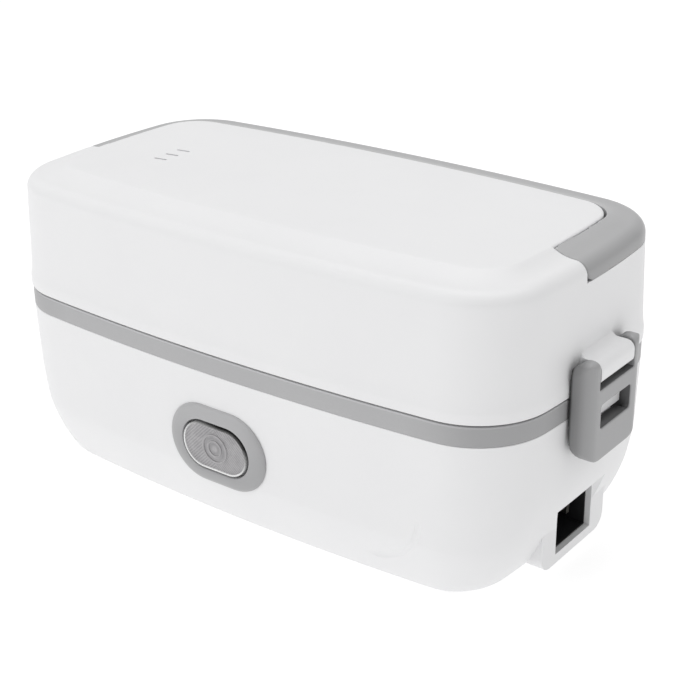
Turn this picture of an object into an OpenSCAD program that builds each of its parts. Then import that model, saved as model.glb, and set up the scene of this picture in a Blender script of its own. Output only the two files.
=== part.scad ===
// Electric lunch box: heated base, removable food container, lid with carry handle and two end clips.
// Units are millimetres. The origin is on the ground under the middle of the box, X runs along its length.

/* [Body] */
// Length of the body at the grey band, without the clips
body_length = 238; // [210:1:270]
// Width of the body at the middle of its long sides
body_width = 125.2; // [110:0.2:150]
// Height of the white base shell, from its underside to the band
base_height = 64; // [56:1:76]
// Plan radius of the four corners
corner_radius = 29.3; // [24:0.1:34]
// How far each long side bows out between its corners
side_bow = 3.9; // [2:0.1:6]
// How far each short end bows out between its corners
end_bow = 1.5; // [0.5:0.1:3]
// Wall of the moulded shells
wall = 2.2; // [1.8:0.1:3]
// Height of the rubber feet below the base shell
foot_height = 1; // [0.5:0.1:2]

/* [Base shell] */
// Draft of the base walls, in degrees
base_draft = 1.6; // [1:0.1:4]
// How far the ends curl in towards the underside
end_curl = 16; // [10:0.5:20]
// Height over which the ends curl in
end_curl_rise = 40; // [30:1:50]
// How far the long sides curl in towards the underside
side_curl = 8; // [4:0.1:10]
// Height over which the long sides curl in
side_curl_rise = 23; // [16:1:30]
// Thickness of the base floor
floor_thickness = 3; // [2:0.1:4]

/* [Band and liner] */
// Height of the grey band
band_height = 8.1; // [6:0.1:12]
// Height of the locating lip above the band
lip_height = 2.6; // [1.5:0.1:4]
// Distance from the outside of the band to the lip
lip_inset = 3.6; // [3.2:0.1:5]
// Thickness of the liner's walls and floor
liner_wall = 2; // [1.6:0.1:3]
// Height of the heating basin's floor above the ground
basin_floor = 29; // [28.6:0.1:34]

/* [Lid] */
// Height of the lid, from its rim to its top
lid_height = 47.5; // [44:0.5:60]
// Gap between the lid's rim and the band
lid_gap = 0.4; // [0.3:0.05:0.8]
// Height of the flange round the lid's rim
flange_height = 4.8; // [3:0.1:7]
// How far the flange stands out
flange_out = 0.4; // [0.3:0.1:1.2]
// Draft of the lid walls, in degrees
lid_draft = 2.2; // [1:0.1:3]
// Margin between the raised panel and the ends
panel_end_margin = 15; // [12:0.5:20]
// Margin between the raised panel and the long sides
panel_side_margin = 17.9; // [14:0.1:22]
// Fall of the cove between the panel and the rounded edge
cove_fall = 2.6; // [1.5:0.1:4]
// Radius of the lid's top edge
edge_radius = 5; // [3:0.5:6]

/* [Carry handle] */
// Distance of the handle's ends in front of the middle of the box
handle_cut = 8; // [4:0.5:16]
// Height of the handle at its outer side
handle_drop = 9.9; // [9:0.1:13]
// Radius of the handle's pivot stubs
handle_pin_radius = 1.5; // [1.2:0.1:1.8]
// Gap round the handle where it lies in the lid
handle_gap = 0.4; // [0.3:0.05:0.6]

/* [Clips] */
// Width of each clip
clip_width = 39; // [30:1:44]
// Height of each clip
clip_height = 38; // [32:0.2:42]
// How far each clip stands out from the body
clip_depth = 8; // [7:0.1:10]
// Width of the lid knuckle between the clip's ears
knuckle_width = 24; // [18:0.5:28]
// Radius of the clip's pivot stubs
clip_pin_radius = 1.5; // [1.2:0.1:1.8]

/* [Container] */
// Thickness of the stainless container
steel = 0.8; // [0.6:0.1:1.2]
// Height of the container lid's rim above the container
tray_seat_height = 9; // [8:0.5:12]
// Depth of the upper tray
tray_depth = 22; // [14:0.5:23]

/* [Indicator] */
// Width of the lamp bezel
bezel_width = 45.8; // [40:0.2:56]
// Height of the lamp bezel
bezel_height = 31.8; // [26:0.2:34]
// Width of the clear window
lens_width = 31.4; // [26:0.2:36]
// Height of the clear window
lens_height = 19.6; // [14:0.2:20]
// Height of the lamp's centre above the ground
lamp_height = 35.7; // [34:0.1:40]
// How far the lamp's centre lies from the middle of the front, away from the inlet
lamp_shift = 1.8; // [0:0.1:6]

/* [Power inlet] */
// Width of the inlet's mouth
inlet_width = 25; // [22:0.5:28]
// Height of the inlet's mouth
inlet_height = 18.4; // [14:0.2:19]
// Height of the inlet's middle above the ground
inlet_centre = 16; // [15:0.1:17]

/* [Hidden] */

eps = 0.01;
fit = 0.05;
seat = 0.3;
half_length = body_length / 2;
half_width = body_width / 2;
side_chord = half_length - corner_radius;
end_chord = half_width - corner_radius;
side_arc = (side_chord * side_chord + side_bow * side_bow) / (2 * side_bow);
end_arc = (end_chord * end_chord + end_bow * end_bow) / (2 * end_bow);

shell_bottom = foot_height;
base_top = shell_bottom + base_height;
band_top = base_top + band_height;
lid_bottom = band_top + lid_gap;
lid_top = lid_bottom + lid_height;
ledge = lid_top - handle_drop;

// ---- plan outline: four corner arcs joined by bowed sides and ends ----

function arc_points(centre, radius, from, to, steps) = [
    for (i = [0 : steps - 1])
        let (a = from + (to - from) * i / steps)
            [centre[0] + radius * cos(a), centre[1] + radius * sin(a)]
];

// Centre of the corner arc that touches a side arc centred on Y and an end arc centred on X
function corner_centre(side_y, side_r, end_x, end_r) =
    let (d = norm([end_x, side_y]), m = (side_r * side_r - end_r * end_r + d * d) / (2 * d),
         h = sqrt(side_r * side_r - m * m), u = [end_x, -side_y] / d)
        [0, side_y] + m * u + h * [u[1], -u[0]];

// One quarter, from the +X axis to the +Y axis, set in by end_in at the ends and side_in at the sides
function quarter(end_in, side_in) =
    let (r = max(corner_radius - (end_in + side_in) * 0.42, 6),
         rs = side_arc - side_in, re = end_arc - end_in,
         sy = half_width - side_in - rs, ex = half_length - end_in - re,
         c = corner_centre(sy, rs - r, ex, re - r), ae = atan2(c[1], c[0] - ex), al = atan2(c[1] - sy, c[0]))
        concat(arc_points([ex, 0], re, 0, ae, 2), arc_points(c, r, ae, al, 6),
               arc_points([0, sy], rs, al, 90, 3), [[0, half_width - side_in]]);

function outline(end_in, side_in) =
    let (q = quarter(end_in, side_in), n = len(q) - 1)
        concat([for (i = [0 : n - 1]) q[i]], [for (i = [n : -1 : 1]) [-q[i][0], q[i][1]]],
               [for (i = [0 : n - 1]) -q[i]], [for (i = [n : -1 : 1]) [q[i][0], -q[i][1]]]);

function ring(level) = [for (p = outline(level[0], level[1])) [p[0], p[1], level[2]]];

function skin(rings, n) = [
    for (i = [0 : rings - 2], j = [0 : n - 1])
        let (k = (j + 1) % n, a = i * n + j, b = (i + 1) * n + j, c = (i + 1) * n + k, d = i * n + k)
            each [[a, b, c], [a, c, d]]
];

// Closed solid through a list of levels [end inset, side inset, height], capped on the first and the last
module loft(levels) {
    rings = [for (l = levels) ring(l)];
    n = len(rings[0]);
    top = (len(levels) - 1) * n;
    polyhedron(
        points = [for (r = rings) each r],
        faces = concat([[for (j = [0 : n - 1]) j]], skin(len(levels), n),
                       [[for (j = [n - 1 : -1 : 0]) top + j]])
    );
}

// Closed band whose section, a loop of levels, runs all round the outline
module hoop(levels) {
    rings = [for (l = concat(levels, [levels[0]])) ring(l)];
    n = len(rings[0]);
    count = len(levels);
    polyhedron(
        points = [for (i = [0 : count - 1]) each rings[i]],
        faces = concat(
            skin(count, n),
            [for (j = [0 : n - 1])
                let (k = (j + 1) % n, a = (count - 1) * n + j, d = (count - 1) * n + k)
                    each [[a, j, k], [a, k, d]]]
        )
    );
}

function even(inset, z) = [inset, inset, z];

// ---- helpers ----

module rounded_rect(w, h, r) {
    offset(r = r, $fn = 32) square([w - 2 * r, h - 2 * r], center = true);
}

module stadium(w, h) {
    translate([-(w - h) / 2, -h / 2]) square([w - h, h]);
    for (s = [-1, 1])
        translate([s * (w - h) / 2, 0]) circle(h / 2, $fn = 48);
}

// Prism along X whose section is drawn in Y and Z
module along_x(x0, x1) {
    translate([x0, 0, 0]) rotate([90, 0, 90]) linear_extrude(x1 - x0) children();
}

// Prism along Y whose section is drawn in X and Z
module along_y(y0, y1) {
    translate([0, y1, 0]) rotate([90, 0, 0]) linear_extrude(y1 - y0) children();
}

module at_corners(x, y) {
    for (sx = [-1, 1], sy = [-1, 1])
        translate([sx * x, sy * y, 0]) children();
}

// Round lead swept along a smooth curve through hand-placed points
function curve_point(p, i, t) =
    let (n = len(p) - 1, a = p[max(i - 1, 0)], b = p[i], c = p[min(i + 1, n)], d = p[min(i + 2, n)])
        0.5 * (2 * b + (c - a) * t + (2 * a - 5 * b + 4 * c - d) * pow(t, 2)
               + (3 * b - a - 3 * c + d) * pow(t, 3));

function curve(p, steps) = concat(
    [for (i = [0 : len(p) - 2], s = [0 : steps - 1]) curve_point(p, i, s / steps)], [p[len(p) - 1]]);

module lead(points, radius, sides = 8) {
    path = curve(points, 3);
    last = len(path) - 1;
    rings = [
        for (i = [0 : last])
            let (t = path[min(i + 1, last)] - path[max(i - 1, 0)],
                 u = cross(t, [0.31, 0.17, 0.94]), v = cross(u, t))
                [for (j = [0 : sides - 1])
                    let (a = 360 * j / sides)
                        path[i] + radius * (cos(a) * u / norm(u) + sin(a) * v / norm(v))]
    ];
    polyhedron(
        points = [for (r = rings) each r],
        faces = concat([[for (j = [0 : sides - 1]) j]], skin(last + 1, sides),
                       [[for (j = [sides - 1 : -1 : 0]) last * sides + j]])
    );
}

// ---- base shell ----

end_curl_power = 1.7;
side_curl_power = 1.3;

// Inset of a curled wall at height h; a power of 2 is a quarter ellipse and a smaller one is flatter
function curl(depth, rise, power, h) =
    h >= rise ? 0 : depth * (1 - pow(1 - pow(1 - h / rise, power), 1 / power));

function base_level(h, inward) =
    let (taper = (base_height - h) * tan(base_draft))
        [taper + curl(end_curl, end_curl_rise, end_curl_power, h) + inward,
         taper + curl(side_curl, side_curl_rise, side_curl_power, h) + inward, shell_bottom + h];

outer_rises = [for (s = [0, 0.008, 0.03, 0.08, 0.16, 0.28, 0.45, 0.7]) s * end_curl_rise];
inner_rises = [for (s = [0, 0.07, 0.16, 0.28, 0.45, 0.7])
    floor_thickness + s * (end_curl_rise - floor_thickness)];

foot_radius = 4.8;
foot_x = half_length - 31;
foot_y = half_width - 21.6;
foot_recess = 1.4;
screw_x = half_length - 57;
screw_y = half_width - 32.6;
screw_head_radius = 2.8;
screw_head_height = 2;
screw_radius = 1.5;
screw_seat = shell_bottom + 7;
boss_radius = 5.5;
boss_top = screw_seat + 3;
post_radius = 4;
basin_underside = basin_floor - liner_wall;

catch_width = 19;
catch_reach = 4;
catch_height = 3.1;

housing_width = 43;
housing_round = 6;
housing_face = half_length - 5.7;
housing_bottom = shell_bottom + 2;
housing_depth = 16;
housing_roof = 3.5;
inlet_flange = 1.4;
inlet_recess = 2.3;
inlet_body_width = inlet_width + 2 * inlet_flange;
inlet_body_height = inlet_height + 2 * inlet_flange;
inlet_body_depth = 16;
housing_top = inlet_centre + inlet_body_height / 2 + wall;

lamp_tilt = base_draft;
lamp_wall = (base_top - lamp_height) * tan(base_draft);
lamp_hole_width = 36.4;
lamp_hole_height = 22.4;
sleeve_depth = 5;
board_y = -(half_width - lamp_wall - sleeve_depth - 1.4);

// Places its children on the front wall: X along the wall, Z up it, -Y out of it
module on_front_wall() {
    translate([-lamp_shift, -(half_width - lamp_wall), lamp_height])
        rotate([lamp_tilt, 0, 0]) children();
}

// Prism of the inlet housing, with its outline drawn smaller by shrink
module housing_prism(x0, x1, shrink) {
    along_x(x0, x1)
        translate([0, (housing_top + housing_bottom) / 2])
            rounded_rect(housing_width - 2 * shrink, housing_top - housing_bottom - 2 * shrink,
                         housing_round - shrink);
}

// Outer form of the base, without its cavity
module base_form() {
    loft(concat(
        [for (h = outer_rises) base_level(h, 0)],
        [base_level(end_curl_rise, 0)], [base_level(base_height, 0)]
    ));
}

// Hollow block round the inlet, open towards the inside, with a short roof that stays clear of the basin
module inlet_housing() {
    intersection() {
        base_form();
        housing_prism(housing_face - eps, half_length, 0);
    }
    difference() {
        housing_prism(housing_face - housing_depth, housing_face, 0);
        housing_prism(housing_face - housing_depth - 1, housing_face - wall, wall);
        translate([housing_face - housing_depth - 1, -housing_width, inlet_centre + inlet_height / 2])
            cube([housing_depth + 1 - housing_roof, 2 * housing_width, housing_top]);
    }
}

module base_shell() {
    color("whitesmoke")
    difference() {
        union() {
            loft(concat(
                [for (h = outer_rises) base_level(h, 0)],
                [base_level(end_curl_rise, 0)], [base_level(base_height, 0)],
                [base_level(base_height, wall)], [base_level(end_curl_rise, wall)],
                [for (i = [len(inner_rises) - 1 : -1 : 0]) base_level(inner_rises[i], wall)]
            ));
            inlet_housing();
            for (side = [-1, 1])
                catch_lug(side);
            at_corners(screw_x, screw_y)
                translate([0, 0, shell_bottom + floor_thickness / 2])
                    cylinder(h = boss_top - shell_bottom - floor_thickness / 2, r = boss_radius, $fn = 32);
        }
        translate([housing_face - 2 * housing_depth, 0, inlet_centre])
            rotate([90, 0, 90])
                linear_extrude(3 * housing_depth)
                    square([inlet_width, inlet_height], center = true);
        translate([housing_face - inlet_recess - 2 * housing_depth, -inlet_body_width / 2 - fit,
                   inlet_centre - inlet_body_height / 2 - fit])
            cube([2 * housing_depth, inlet_body_width + 2 * fit, inlet_body_height + 2 * fit]);
        on_front_wall()
            along_y(-8, 8) stadium(lamp_hole_width, lamp_hole_height);
        at_corners(foot_x, foot_y)
            translate([0, 0, shell_bottom - 1]) cylinder(h = 1 + foot_recess, r = foot_radius, $fn = 48);
        at_corners(screw_x, screw_y) {
            translate([0, 0, shell_bottom - 1])
                cylinder(h = screw_seat - shell_bottom + 1, r = screw_head_radius + 0.7, $fn = 32);
            cylinder(h = boss_top + 1, r = screw_radius + 0.3, $fn = 32);
        }
    }
}

module catch_lug(side) {
    x = side > 0 ? half_length - wall / 2 : -half_length - catch_reach;
    translate([x, -catch_width / 2, base_top - catch_height])
        cube([catch_reach + wall / 2, catch_width, catch_height]);
}

module rubber_feet() {
    color("dimgray")
    at_corners(foot_x, foot_y)
        cylinder(h = shell_bottom + foot_recess, r = foot_radius - 0.1, $fn = 48);
}

module base_screws() {
    color("silver")
    at_corners(screw_x, screw_y) {
        translate([0, 0, screw_seat - screw_head_height])
            cylinder(h = screw_head_height, r = screw_head_radius, $fn = 32);
        translate([0, 0, screw_seat - eps])
            cylinder(h = basin_underside - 3 - screw_seat, r = screw_radius, $fn = 32);
    }
}

// ---- liner: grey band, locating lip and heating basin ----

lip_thickness = 1.8;
rest_inset = lip_inset + lip_thickness;
rest_level = band_top - 2;
basin_inset = rest_inset + 2.8;
basin_draft = 3.4;
basin_round = 5;
opening_length = 96;
opening_width = 36;
clamp_post_y = 27;
clamp_x = -5;

module heater_liner() {
    color("darkgray")
    difference() {
        union() {
            loft([
                even(basin_inset + basin_draft + basin_round - liner_wall, basin_underside),
                even(basin_inset + basin_draft - liner_wall + 1, basin_underside + 2),
                even(basin_inset + basin_draft - liner_wall, basin_underside + basin_round),
                even(basin_inset - liner_wall + 0.4, base_top - 0.5),
                even(wall + 0.4, base_top - 0.5),
                even(wall + 0.4, base_top),
                even(0, base_top),
                even(0, band_top),
                even(lip_inset, band_top),
                even(lip_inset, band_top + lip_height),
                even(rest_inset, band_top + lip_height),
                even(rest_inset, rest_level),
                even(basin_inset, rest_level),
                even(basin_inset + basin_draft, basin_floor + basin_round),
                even(basin_inset + basin_draft + 1.2, basin_floor + 1.6),
                even(basin_inset + basin_draft + basin_round, basin_floor)
            ]);
            at_corners(screw_x, screw_y)
                translate([0, 0, boss_top + fit])
                    cylinder(h = basin_underside - boss_top + liner_wall / 2, r = post_radius, $fn = 32);
            for (s = [-1, 1])
                translate([clamp_x, s * clamp_post_y, clamp_top])
                    cylinder(h = basin_underside - clamp_top + liner_wall / 2, r = post_radius, $fn = 32);
        }
        translate([0, 0, basin_underside - 1])
            linear_extrude(liner_wall + 2) stadium(opening_length, opening_width);
        at_corners(screw_x, screw_y)
            cylinder(h = basin_underside - 2, r = screw_radius + fit, $fn = 32);
        for (s = [-1, 1])
            translate([clamp_x, s * clamp_post_y, 0])
                cylinder(h = basin_underside - 0.5, r = screw_radius + fit, $fn = 32);
    }
}

// ---- heater under the basin ----

gasket = 1;
plate_thickness = 2;
plate_length = opening_length + 16;
plate_width = opening_width + 16;
plate_top = basin_floor + gasket + plate_thickness;
plate_boss = 5;
pad_underside = plate_top - plate_thickness - plate_boss;
heater_length = 44;
heater_width = 26;
heater_thickness = 4;
clamp_thickness = 1.2;
clamp_top = pad_underside - heater_thickness;
clamp_level = clamp_top - clamp_thickness;
clamp_width = 12;
thermostat_x = 34;
fuse_x = -38;

module plate_gasket() {
    color("tomato")
    translate([0, 0, basin_floor])
        linear_extrude(gasket)
            difference() {
                stadium(plate_length - 2, plate_width - 2);
                stadium(opening_length + 2, opening_width + 2);
            }
}

module heating_plate() {
    color("silver") {
        translate([0, 0, plate_top - plate_thickness])
            linear_extrude(plate_thickness) stadium(plate_length, plate_width);
        translate([0, 0, pad_underside])
            linear_extrude(plate_boss + eps) stadium(opening_length - 1, opening_width - 1);
    }
}

module ptc_heater() {
    color("goldenrod")
    translate([clamp_x - heater_length / 2, -heater_width / 2, pad_underside - heater_thickness])
        cube([heater_length, heater_width, heater_thickness]);
}

module heater_clamp() {
    color("silver")
    translate([clamp_x, 0, clamp_level])
        linear_extrude(clamp_thickness)
            difference() {
                square([clamp_width, 2 * clamp_post_y + clamp_width], center = true);
                for (s = [-1, 1])
                    translate([0, s * clamp_post_y]) circle(screw_radius + 0.2, $fn = 32);
            }
}

module clamp_screws() {
    color("dimgray")
    for (s = [-1, 1])
        translate([clamp_x, s * clamp_post_y, clamp_level - screw_head_height]) {
            cylinder(h = screw_head_height, r = screw_head_radius, $fn = 32);
            cylinder(h = screw_head_height + clamp_thickness + 4, r = screw_radius, $fn = 32);
        }
}

module thermostat() {
    color("black")
    translate([thermostat_x, 0, pad_underside]) {
        translate([0, 0, -2.4]) cylinder(h = 2.4, r = 8, $fn = 48);
        translate([0, 0, -6]) cylinder(h = 4, r = 6.8, $fn = 48);
        for (s = [-1, 1])
            translate([s * 4 - 0.4, -2, -9]) cube([0.8, 4, 4]);
    }
}

module thermal_fuse() {
    color("white")
    translate([fuse_x, 0, pad_underside - 2.3])
        rotate([90, 0, 0]) cylinder(h = 14, r = 2, center = true, $fn = 32);
}

lead_radius = 1;
inlet_back = housing_face - inlet_recess - inlet_body_depth;

lead_start = inlet_back - 2;
fuse_level = pad_underside - 2.3;
tab_level = pad_underside - 9.4;

module live_lead() {
    color("brown")
    lead([[lead_start, -7, 13], [lead_start - 5, -7, 13], [lead_start - 12, -9, 11],
          [lead_start - 40, -17, 9], [0, -19, 8.6],
          [fuse_x + 6, -18, 12], [fuse_x, -12, fuse_level - 1], [fuse_x, -7.4, fuse_level]], lead_radius);
}

module neutral_lead() {
    color("royalblue")
    lead([[lead_start, 7, 13], [lead_start - 5, 7, 13], [lead_start - 12, 8, 11], [lead_start - 30, 8, 9.5],
          [thermostat_x + 10, 3, 9], [thermostat_x + 4, 0, tab_level - 3],
          [thermostat_x + 4, 0, tab_level]], lead_radius);
}

module earth_lead() {
    color("yellowgreen")
    lead([[lead_start, 0, 17], [lead_start - 5, 0, 17], [lead_start - 12, 4, 15], [lead_start - 24, 12, 13],
          [thermostat_x + 13, 13, 15], [thermostat_x + 11, 13, pad_underside - 4],
          [thermostat_x + 11, 13, pad_underside - 0.3]], lead_radius);
}

module heater_leads() {
    color("crimson") {
        lead([[fuse_x, 7.3, fuse_level], [fuse_x, 10, fuse_level], [fuse_x + 3, 12, fuse_level - 3],
              [clamp_x - heater_length / 2 - 4, 7, fuse_level - 0.6],
              [clamp_x - heater_length / 2 - 0.5, 5, fuse_level]], lead_radius);
        lead([[clamp_x + heater_length / 2 + 0.5, 0, fuse_level],
              [clamp_x + heater_length / 2 + 3, 0, fuse_level - 0.4],
              [clamp_x + heater_length / 2 + 6, 0, tab_level - 1], [thermostat_x - 6, 0, tab_level - 4.5],
              [thermostat_x - 4, 0, tab_level - 3], [thermostat_x - 4, 0, tab_level]], lead_radius);
    }
}

module lamp_leads() {
    color("dimgray")
    for (s = [-1, 1])
        lead([[s * 16 - 4, -heater_width / 2 - 0.5, fuse_level],
              [s * 16 - 4, -heater_width / 2 - 3, fuse_level],
              [s * 13, -21, 18], [s * 11, -28, 12], [s * 8 - 1, -42, 10],
              [s * 5 - lamp_shift, board_y, 15], [s * 5 - lamp_shift, board_y, 22],
              [s * 5 - lamp_shift, board_y, lamp_height - lens_height / 2 - 0.5]], 0.8);
}

// ---- indicator lamp ----

bezel_proud = 2;
sleeve_wall = 1.6;
lens_gap = 0.4;
lens_proud = 2.2;
lens_thickness = 2.6;

module indicator_bezel() {
    color("gray")
    on_front_wall()
        difference() {
            union() {
                hull() {
                    along_y(-0.8, -0.05) stadium(bezel_width, bezel_height);
                    along_y(-bezel_proud, -0.8) stadium(bezel_width - 4.4, bezel_height - 4.4);
                }
                along_y(-0.4, sleeve_depth)
                    stadium(lamp_hole_width - 0.6, lamp_hole_height - 0.6);
            }
            along_y(-8, lens_thickness - lens_proud)
                stadium(lens_width + 2 * lens_gap, lens_height + 2 * lens_gap);
            along_y(-8, 12)
                stadium(lens_width - 3, lens_height - 3);
        }
}

module indicator_lens() {
    color("lightgray")
    on_front_wall() {
        difference() {
            along_y(-lens_proud, lens_thickness - lens_proud - fit) stadium(lens_width, lens_height);
            along_y(-8, 0.5 - lens_proud) stadium(lens_width - 2.4, lens_height - 2.4);
        }
        rotate([90, 0, 0])
            for (r = [5.8, 3.4])
                translate([0, 0, lens_proud - 0.6])
                    difference() {
                        cylinder(h = 0.5, r = r, $fn = 48);
                        translate([0, 0, -1]) cylinder(h = 3, r = r - 0.7, $fn = 48);
                    }
    }
}

module lamp_board() {
    color("darkgreen")
    on_front_wall() {
        translate([-(lamp_hole_width - 1) / 2, sleeve_depth, -lens_height / 2])
            cube([lamp_hole_width - 1, 1.2, lens_height]);
        for (s = [-1, 1])
            translate([s * 4, sleeve_depth + eps, 0])
                rotate([90, 0, 0]) {
                    cylinder(h = 3.4, r = 1.5, $fn = 32);
                    cylinder(h = 1, r = 1.9, $fn = 32);
                }
    }
}

// ---- power inlet ----

pin_length = 12;

module power_inlet() {
    color("black")
    translate([inlet_back, 0, inlet_centre])
        difference() {
            translate([0, -inlet_body_width / 2, -inlet_body_height / 2])
                cube([inlet_body_depth, inlet_body_width, inlet_body_height]);
            along_x(2.4, inlet_body_depth + 1) square([inlet_width - 1, inlet_height - 1], center = true);
            for (p = pin_places)
                translate([-1, p[0] - pin_width / 2 - fit, p[1] - pin_blade / 2 - fit])
                    cube([6, pin_width + 2 * fit, pin_blade + 2 * fit]);
        }
}

pin_width = 2;
pin_blade = 4;
pin_places = [[-7, -1.4], [0, 2.2], [7, -1.4]];

module inlet_pins() {
    color("silver")
    for (p = pin_places)
        translate([inlet_back - 1.2, p[0] - pin_width / 2, inlet_centre + p[1] - pin_blade / 2])
            cube([pin_length + 1.2, pin_width, pin_blade]);
}

// ---- food container and its lid ----

container_out = basin_inset + 0.7;
rim_level = rest_level + seat;
container_floor = plate_top + seat + 0.3;

module food_container() {
    color("lightsteelblue")
    loft([
        even(container_out + basin_draft + 8, container_floor),
        even(container_out + basin_draft + 2.2, container_floor + 1.6),
        even(container_out + basin_draft, container_floor + 7),
        even(container_out, rim_level),
        even(rest_inset + 0.5, rim_level),
        even(rest_inset + 0.5, rim_level + 1.6),
        even(container_out + steel, rim_level + 1.6),
        even(container_out + steel + basin_draft, container_floor + 7),
        even(container_out + steel + basin_draft + 2, container_floor + steel + 1.4),
        even(container_out + basin_draft + 8, container_floor + steel)
    ]);
}

cover_level = rim_level + 1.6 + seat;
plug_inset = container_out + steel + 1.8;
cover_thickness = 1.8;
seat_width = 7;
tray_seat = cover_level + tray_seat_height;
panel_level = cover_level + 2.4;
vent_x = -60;
vent_hole = 4.5;

module container_lid() {
    color("gainsboro")
    difference() {
        loft([
            even(plug_inset + seat_width + 1.8, panel_level),
            even(plug_inset + seat_width, tray_seat - cover_thickness),
            even(plug_inset + cover_thickness, tray_seat - cover_thickness),
            even(plug_inset + cover_thickness, cover_level - 5),
            even(plug_inset, cover_level - 5),
            even(plug_inset, cover_level),
            even(rest_inset + 0.7, cover_level),
            even(rest_inset + 0.7, cover_level + 2),
            even(plug_inset - 1, cover_level + 2),
            even(plug_inset, tray_seat),
            even(plug_inset + seat_width + 0.4, tray_seat),
            even(plug_inset + seat_width + 2, panel_level + cover_thickness)
        ]);
        translate([vent_x, 0, panel_level - 1]) cylinder(h = 5, r = vent_hole, $fn = 48);
    }
}

module container_seal() {
    color("white")
    hoop([
        even(plug_inset - 0.15, cover_level - 4.4),
        even(container_out + steel + 0.5, cover_level - 3.6),
        even(container_out + steel + 0.3, cover_level - 2),
        even(plug_inset - 0.15, cover_level - 1.4)
    ]);
}

module vent_plug() {
    color("orange")
    translate([vent_x, 0, panel_level - 1.4]) {
        cylinder(h = cover_thickness + 1.6, r = vent_hole - 0.3, $fn = 48);
        translate([0, 0, cover_thickness + 1.5]) cylinder(h = 1.6, r = 7, $fn = 48);
    }
}

tray_floor = tray_seat + seat;
tray_wall = 1.6;
divider_x = 24;

module upper_tray() {
    color("whitesmoke") {
        loft([
            even(plug_inset + 3.4, tray_floor),
            even(plug_inset + 1.4, tray_floor + 1.4),
            even(plug_inset + 0.4, tray_floor + 5),
            even(plug_inset - 0.8, tray_floor + tray_depth - 1.4),
            even(plug_inset - 2.6, tray_floor + tray_depth - 1.4),
            even(plug_inset - 2.6, tray_floor + tray_depth),
            even(plug_inset - 0.8 + tray_wall, tray_floor + tray_depth),
            even(plug_inset + 0.4 + tray_wall, tray_floor + 5),
            even(plug_inset + 1.4 + tray_wall, tray_floor + tray_wall + 1),
            even(plug_inset + 3.4 + tray_wall, tray_floor + tray_wall)
        ]);
        intersection() {
            loft([
                even(plug_inset + 2.6, tray_floor + tray_wall / 2),
                even(plug_inset + 1.2, tray_floor + 5),
                even(plug_inset + 0.4, tray_floor + tray_depth - 6)
            ]);
            translate([divider_x, -half_width, 0]) cube([tray_wall, body_width, lid_top]);
        }
    }
}

// ---- lid ----

edge_inset = 1.4;
cove_start = edge_inset + edge_radius;
panel_fall = 0.35;
lid_wall = 2.4;

cove_ratio = (panel_side_margin - cove_start) / (panel_end_margin - cove_start);

function side_of(inset) =
    inset <= cove_start ? inset : cove_start + (inset - cove_start) * cove_ratio;

function cove_level(inset, deeper) =
    let (s = (inset - cove_start) / (panel_end_margin - cove_start))
        [inset, side_of(inset), lid_top - panel_fall - cove_fall * (1 - s * s) - deeper];

function edge_level(angle, inward, deeper) =
    [cove_start - edge_radius * cos(angle) + inward, cove_start - edge_radius * cos(angle) + inward,
     lid_top - panel_fall - cove_fall - edge_radius + edge_radius * sin(angle) - deeper];

module lid_solid() {
    loft([
        even(-flange_out, lid_bottom),
        even(-flange_out, lid_bottom + flange_height - 0.4),
        even(-flange_out + 0.4, lid_bottom + flange_height),
        even(flange_height * tan(lid_draft), lid_bottom + flange_height + 0.3),
        edge_level(0, 0, 0), edge_level(30, 0, 0), edge_level(60, 0, 0), edge_level(90, 0, 0),
        cove_level(cove_start + 3, 0), cove_level(cove_start + 6, 0), cove_level(panel_end_margin, 0),
        [panel_end_margin + 3, panel_side_margin + 3, lid_top - 0.1],
        [panel_end_margin + 16, panel_side_margin + 12, lid_top]
    ]);
}

// Room inside the lid under the handle's ledge and the panel
module lid_room() {
    under_ledge = ledge - handle_gap - lid_wall;
    loft([
        even(lid_wall, lid_bottom - 1),
        even(lid_wall + (under_ledge - lid_bottom) * tan(lid_draft), under_ledge),
        [panel_end_margin + lid_wall, panel_side_margin + lid_wall, under_ledge + 0.3],
        [panel_end_margin + lid_wall, panel_side_margin + lid_wall, lid_top - 2.6]
    ]);
}

// Front of the same room, which follows the cove from below
module front_room() {
    base_inset = lid_wall + edge_inset + 0.2;
    intersection() {
        loft([
            even(base_inset, ledge - 8),
            even(base_inset, lid_top - 9.5),
            even(base_inset + 1, lid_top - 7),
            even(base_inset + 3, lid_top - 5.6),
            [12, 12 * 1.1, lid_top - 4.8],
            [panel_end_margin, panel_side_margin, lid_top - 3.6],
            [panel_end_margin + 3, panel_side_margin + 3, lid_top - 2.8]
        ]);
        translate([-half_length, -half_width, 0])
            cube([body_length, half_width - handle_cut - lid_wall, lid_top]);
    }
}

handle_end = handle_cut - 0.6;
handle_pivot_y = -handle_end + 5;
handle_pivot_z = lid_top - 3.2;
pin_reach = 3;

// Upright prism that follows the panel's edge, grown by out all round
module panel_prism(out, z0, z1) {
    a = panel_end_margin - out;
    b = panel_side_margin - out;
    loft([[a, b, z0], [a, b, z1]]);
}

// Step round the rear of the lid that the handle lies in
module handle_step() {
    difference() {
        translate([-body_length, -handle_cut, ledge - handle_gap])
            cube([2 * body_length, body_width, handle_drop + 2]);
        panel_prism(0, ledge - 5, lid_top + 1);
    }
}

knuckle_top = lid_bottom + 11.9;
knuckle_bottom = lid_bottom + 4.1;
knuckle_face = half_length + clip_depth - 0.1;
clip_pivot_x = half_length + clip_depth - 3.9;
clip_pivot_z = lid_bottom + 9.1;

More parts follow.
